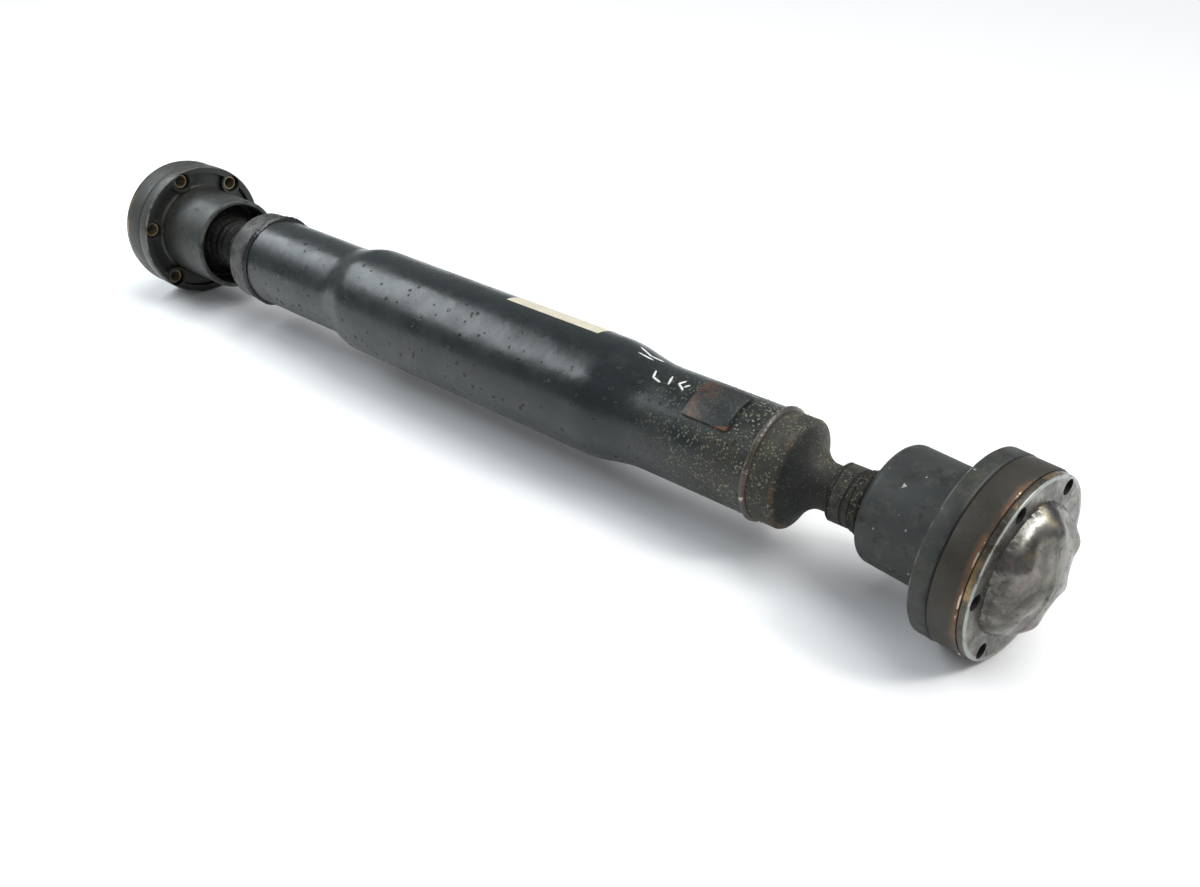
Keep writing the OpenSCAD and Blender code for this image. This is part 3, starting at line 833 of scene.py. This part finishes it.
def boot(joint, cuts, bend_from, bend_to, bodies, material):
    """A rubber boot, split where each of its stretches bends across one joint.

    cuts are the stations between stretches, and bodies the bodies from neck to flange.
    The narrow end stays on the neck up to its clamp's outer edge."""
    sides = 144
    clamp_edge = -72.0
    outline = dense(BOOT_OUTSIDE + BOOT_INSIDE, 2)
    stations = [-90.0] + list(cuts) + [-30.0]
    for index, (low, high) in enumerate(zip(stations, stations[1:])):
        clipped = clip_outline(outline, low, high)
        vertices = []
        for u, radius in clipped:
            share = smoothstep(u, bend_from, bend_to)
            for j in range(sides):
                angle = math.tau * j / sides
                wave = noise.noise(Vector((math.cos(angle) * 2.4, math.sin(angle) * 2.4, u * 0.35)))
                crease = noise.noise(Vector((math.cos(angle) * 7, math.sin(angle) * 7, u * 0.9 + 9)))
                loose = smoothstep(u, -72, -69) * (1 - smoothstep(u, -50, -46))
                r = radius + loose * (0.55 * wave + 0.22 * crease)
                vertices.append(joint.point(u * MM, r * MM, angle, share))
        faces = ring_faces(len(clipped), sides)
        piece = mesh_object(f"{joint.side}_boot_{index + 1}", vertices, faces, material)
        face_outwards(piece)
        start = joint.point((clamp_edge if index == 0 else low) * MM, 0, 0, 0)
        end = joint.point(min(high, -38) * MM, 0, 0, 0)
        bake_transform(piece)
        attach(piece, bodies[index])
        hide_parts(joint.side + "_boot")


def clip_outline(outline, low, high):
    """The part of a closed outline between two stations, closed along the cuts."""
    def cut(points, limit, keep):
        kept = []
        for a, b in zip(points, points[1:] + points[:1]):
            inside_a, inside_b = keep(a[0]), keep(b[0])
            if inside_a:
                kept.append(a)
            if inside_a != inside_b:
                t = (limit - a[0]) / (b[0] - a[0])
                kept.append((limit, a[1] + (b[1] - a[1]) * t))
        return kept

    return cut(cut(outline, low, lambda u: u >= low), high, lambda u: u <= high)


# ---------------------------------------------------------- marks and splashes

WIDE_X0 = SHAFT_X0 + 0.22805
WIDE_X1 = SHAFT_X1 - 0.23825
LEFT_SWAGE = 0.028
RIGHT_SWAGE = 0.040


def on_tube(x, angle, lift):
    """A point on the tube's surface, raised by lift."""
    cosine = (1 - math.cos(math.pi * rise_share(x))) / 2
    radius = TUBE_R + (TUBE_WIDE_R - TUBE_R) * cosine + lift
    return Vector((x, radius * math.cos(angle), radius * math.sin(angle)))


def rise_share(x):
    """How far up its swages the tube is at x, from 0 at its ends to 1 in the middle."""
    up = min(1.0, max(0.0, (x - WIDE_X0 + LEFT_SWAGE) / LEFT_SWAGE))
    down = min(1.0, max(0.0, (x - WIDE_X1) / RIGHT_SWAGE))
    return min(up, 1 - down)


def brush_stroke(name, points, width, material):
    """A ribbon of paint through (x, degrees) points on the tube."""
    path = []
    for (x0, a0), (x1, a1) in zip(points, points[1:]):
        path += [(x0 + (x1 - x0) * k / 6, a0 + (a1 - a0) * k / 6) for k in range(6)]
    path.append(points[-1])
    vertices = []
    for k, (x, degrees) in enumerate(path):
        angle = math.radians(degrees)
        before, after = path[max(0, k - 1)], path[min(len(path) - 1, k + 1)]
        run = Vector((after[0] - before[0], math.radians(after[1] - before[1]) * TUBE_R)).normalized()
        taper = min(1.0, 0.45 + 0.3 * min(k, len(path) - 1 - k))
        half = width / 2 * taper * (1 + 0.25 * noise.noise(Vector((x * 900, degrees, 0))))
        for side in (-1, 1):
            dx = -run.y * half * side
            turn = run.x * half * side / TUBE_R
            vertices.append(on_tube(x + dx, angle + turn, 0.12 * MM))
    top = len(vertices)
    vertices += [on_tube(v.x, math.atan2(v.z, v.y), -0.2 * MM) for v in vertices]
    steps = len(path) - 1
    faces = [(2 * k, 2 * k + 1, 2 * k + 3, 2 * k + 2) for k in range(steps)]
    faces += [(top + 2 * k + 2, top + 2 * k + 3, top + 2 * k + 1, top + 2 * k) for k in range(steps)]
    for side in (0, 1):
        edge = [2 * k + side for k in range(steps + 1)]
        faces += [(a, b, top + b, top + a) for a, b in zip(edge, edge[1:])]
    faces += [(0, 1, top + 1, top), (2 * steps, 2 * steps + 1, top + 2 * steps + 1, top + 2 * steps)]
    piece = mesh_object(name, vertices, faces, material)
    face_outwards(piece)
    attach(piece, "shaft")


def mud_crumbs(material):
    """Low crumbs of dried mud on the right end of the shaft."""
    draw = random.Random(11)
    vertices = []
    faces = []
    shoulder_x = SHAFT_X1 - 108.5 * MM
    for _ in range(1300):
        x = shoulder_x - abs(draw.gauss(0, 0.030))
        if abs(x - RIGHT_BEAD_X) < 4.6 * MM:
            continue
        angle = draw.uniform(0, math.tau)
        size = min(1.3, max(0.18, draw.lognormvariate(-1.05, 0.45))) * MM
        normal = Vector((0, math.cos(angle), math.sin(angle)))
        if x > RIGHT_BEAD_X:
            base = Vector((x, 0, 0)) + normal * 30.9 * MM
        else:
            base = on_tube(x, angle, 0.0)
        side = normal.cross(Vector((1, 0, 0)))
        start = len(vertices)
        rim = 7
        for k in range(rim):
            a = math.tau * k / rim + draw.uniform(-0.3, 0.3)
            reach = size * draw.uniform(0.7, 1.25)
            vertices.append(base + Vector((1, 0, 0)) * math.cos(a) * reach + side * math.sin(a) * reach
                            - normal * 0.25 * MM)
        vertices.append(base + normal * size * draw.uniform(0.25, 0.5))
        vertices.append(base - normal * 0.5 * MM)
        for k in range(rim):
            faces.append((start + k, start + (k + 1) % rim, start + rim))
            faces.append((start + (k + 1) % rim, start + k, start + rim + 1))
    piece = mesh_object("mud_crumbs", vertices, faces, material)
    face_outwards(piece)
    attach(piece, "shaft")


# ------------------------------------------------------------------- building

def dress_shaft():
    """Looks of the shaft body, and of the bearing parts on the bodies between."""
    dress("tube", tube_paint(), 40)
    dress("left_stub_shaft", rough_collar(), 35, 0.25 * MM)
    dress("right_stub_shaft", grimy_stub("grimy_stub", RIGHT), 35, 0.3 * MM)
    rusty = weld_rust()
    weld_bead("left_bead", LEFT_BEAD_X, 4.4 * MM, 2.7 * MM, 3.0, weld_black(), "left_weld_bead")
    weld_bead("right_bead", RIGHT_BEAD_X, 4.5 * MM, 2.15 * MM, 8.0, rusty, "right_weld_bead")
    low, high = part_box("balance_weight")
    dress("balance_weight", weight_plate(high.x, low.z), 35, 0.3 * MM)
    dress("label", aged_paper(), 35)
    steel = ground_steel()
    for joint in (LEFT, RIGHT):
        side = joint.side
        dress(side + "_boot_clamp", grimy_band(side + "_band", joint), 35, 0.2 * MM)
        dress(side + "_inner_race", steel, 30)
        dress(side + "_circlip", steel, 30)
        dress(side + "_cage", steel, 30)
        dress(side + "_balls", steel, 60)


def dress_flanges():
    """Looks of the flange bodies. The boot rings share the left clamp's steel."""
    seal = sealing()
    band = frame["nodes"]["left_boot_clamp"].data.materials[0]
    dress("left_adapter", housing_paint("left_housing_paint", LEFT, 0.12, 0.5), 30, 0.25 * MM)
    dress("right_adapter", housing_paint("right_housing_paint", RIGHT, 0.0, 0.6), 30, 0.3 * MM)
    dress("left_outer_race", rusty_race("left_race_steel", LEFT, 0.25), 30, 0.2 * MM)
    dress("right_outer_race", rusty_race("right_race_steel", RIGHT, 1.0), 30, 0.2 * MM)
    for joint in (LEFT, RIGHT):
        side = joint.side
        dress(side + "_adapter_gasket", seal)
        dress(side + "_cap_gasket", seal)
        dress(side + "_sleeves", yellow_zinc(side + "_zinc", joint), 35, 0.2 * MM)
        dress(side + "_boot_ring", band, 35)
    end_cap(LEFT, LEFT_DENTS, cap_metal("left_cap_metal", LEFT))
    end_cap(RIGHT, RIGHT_DENTS, cap_metal("right_cap_metal", RIGHT))


def add_boots():
    bend_from, bend_to = -52.0, -42.0
    right_bodies = ("shaft", "right_boot", "right_flange")
    left_bodies = ("shaft", "left_boot", "left_cage", "left_flange")
    boot(RIGHT, (-50.0,), bend_from, bend_to, right_bodies, rubber("right_rubber", 1.0))
    boot(LEFT, (-54.0, -50.0), bend_from, bend_to, left_bodies, rubber("left_rubber", 0.25))


# Brush strokes: where x is measured from, the stroke's width, then its (x, degrees) points
NEAR_X = SHAFT_X1 - 0.190
FAR_X = SHAFT_X1 - 0.216
STROKES = [(NEAR_X, 1.25 * MM, [(-0.012, 96), (-0.010, 106), (-0.004, 109)]),
           (NEAR_X, 1.35 * MM, [(-0.001, 95), (0.001, 108)]),
           (NEAR_X, 1.35 * MM, [(0.008, 94), (0.006, 102), (0.011, 108)]),
           (NEAR_X, 1.25 * MM, [(0.012, 98), (0.010, 104)]),
           (FAR_X, 1.25 * MM, [(-0.008, 72), (0.002, 77), (0.010, 73)]),
           (FAR_X, 1.25 * MM, [(-0.004, 84), (0.006, 82)])]


def add_marks():
    """White brush strokes on the top of the tube."""
    white = white_marker()
    for number, (origin, width, points) in enumerate(STROKES, 1):
        path = [(origin + x, degrees) for x, degrees in points]
        brush_stroke(f"paint_stroke_{number}", path, width, white)


# Flakes on the right housing: station, angle in degrees and size
RIGHT_CAN_R = 33 * MM
CHIPS = [(-44 * MM, 126, 1.9 * MM), (-33 * MM, 158, 0.8 * MM), (-27 * MM, 197, 0.9 * MM),
         (-49 * MM, 170, 0.6 * MM), (-38 * MM, 110, 0.6 * MM)]


def add_chips():
    """Flakes where the right housing has lost its paint."""
    bare = Paint("bare_flake", specular=0.4)
    bare.finish(bare.mix(bare.noise(0.002), (0.22, 0.23, 0.21), (0.40, 0.41, 0.38)), 0.6)
    draw = random.Random(21)
    for k, (u, degrees, size) in enumerate(CHIPS):
        corners = 3 if k == 0 else 5
        angle = math.radians(degrees)
        outline = []
        for i in range(corners):
            spin = math.tau * i / corners + draw.uniform(-0.4, 0.4)
            reach = size * draw.uniform(0.7, 1.2)
            along, around = 0.7 * reach * math.cos(spin), reach * math.sin(spin)
            outline.append((u + along, angle + around / RIGHT_CAN_R))
        vertices = [RIGHT.point(at_u, RIGHT_CAN_R + lift, at_angle)
                    for lift in (0.06 * MM, -0.3 * MM) for at_u, at_angle in outline]
        faces = [tuple(range(corners)), tuple(reversed(range(corners, 2 * corners)))]
        for i in range(corners):
            following = (i + 1) % corners
            faces.append((i, i + corners, following + corners, following))
        flake = mesh_object(f"paint_chip_{k}", vertices, faces, bare.mat, smooth=False)
        face_outwards(flake)
        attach(flake, "right_flange")


CAMERA_PLACE = (0.8077, -0.4406, 0.3229)
CAMERA_FORWARD = Vector((-0.54545, 0.65023, -0.52885)).normalized()
CAMERA_LENS = 33.41


def add_studio():
    """Pale floor, soft overhead light and a camera at the photograph's angle."""
    floor_z = cad_box[0][2]
    size = 12.0
    p = Paint("floor", specular=0.2)
    p.finish(p.mix(p.noise(0.8, 2.0), (0.86, 0.86, 0.86), (0.88, 0.88, 0.88)), 0.9)
    corners = [(x * size, y * size, floor_z) for x, y in ((-1, -1), (1, -1), (1, 1), (-1, 1))]
    floor = mesh_object("floor", corners, [(0, 1, 2, 3)], p.mat, smooth=False)

    world = bpy.data.worlds.new("studio")
    world.use_nodes = True
    world.node_tree.nodes["Background"].inputs[0].default_value = (0.93, 0.96, 1.0, 1.0)
    world.node_tree.nodes["Background"].inputs[1].default_value = 0.36
    bpy.context.scene.world = world

    def soft_light(name, place, target, width, height, power, colour=(1, 1, 1)):
        data = bpy.data.lights.new(name, "AREA")
        data.shape = "RECTANGLE"
        data.size, data.size_y = width, height
        data.energy = power
        data.color = colour
        lamp = bpy.data.objects.new(name, data)
        bpy.context.scene.collection.objects.link(lamp)
        lamp.location = place
        lamp.rotation_euler = (Vector(target) - Vector(place)).to_track_quat("-Z", "Y").to_euler()

    sun = bpy.data.lights.new("sun", "SUN")
    sun.energy = 2.3
    sun.angle = math.radians(55)
    sun_lamp = bpy.data.objects.new("sun", sun)
    bpy.context.scene.collection.objects.link(sun_lamp)
    sun_lamp.rotation_euler = Vector((0.35, 0.30, 0.89)).to_track_quat("Z", "Y").to_euler()
    soft_light("left_window", (-0.66, -0.38, 0.95), (0.38, 0.0, 0.0), 1.2, 0.6, 13, (0.90, 0.97, 1.0))
    soft_light("cap_light", (1.32, 0.22, 0.80), (0.69, 0, 0), 0.20, 0.20, 4)

    data = bpy.data.cameras.new("camera")
    data.sensor_width = 36.0
    data.lens = CAMERA_LENS
    data.clip_start = 0.01
    camera = bpy.data.objects.new("camera", data)
    bpy.context.scene.collection.objects.link(camera)
    camera.location = CAMERA_PLACE
    camera.rotation_euler = CAMERA_FORWARD.to_track_quat("-Z", "Y").to_euler()
    bpy.context.scene.camera = camera
    bpy.context.scene.view_settings.view_transform = "Standard"


dress_shaft()
dress_flanges()
add_boots()
add_marks()
add_chips()
mud_crumbs(dried_mud())
add_studio()
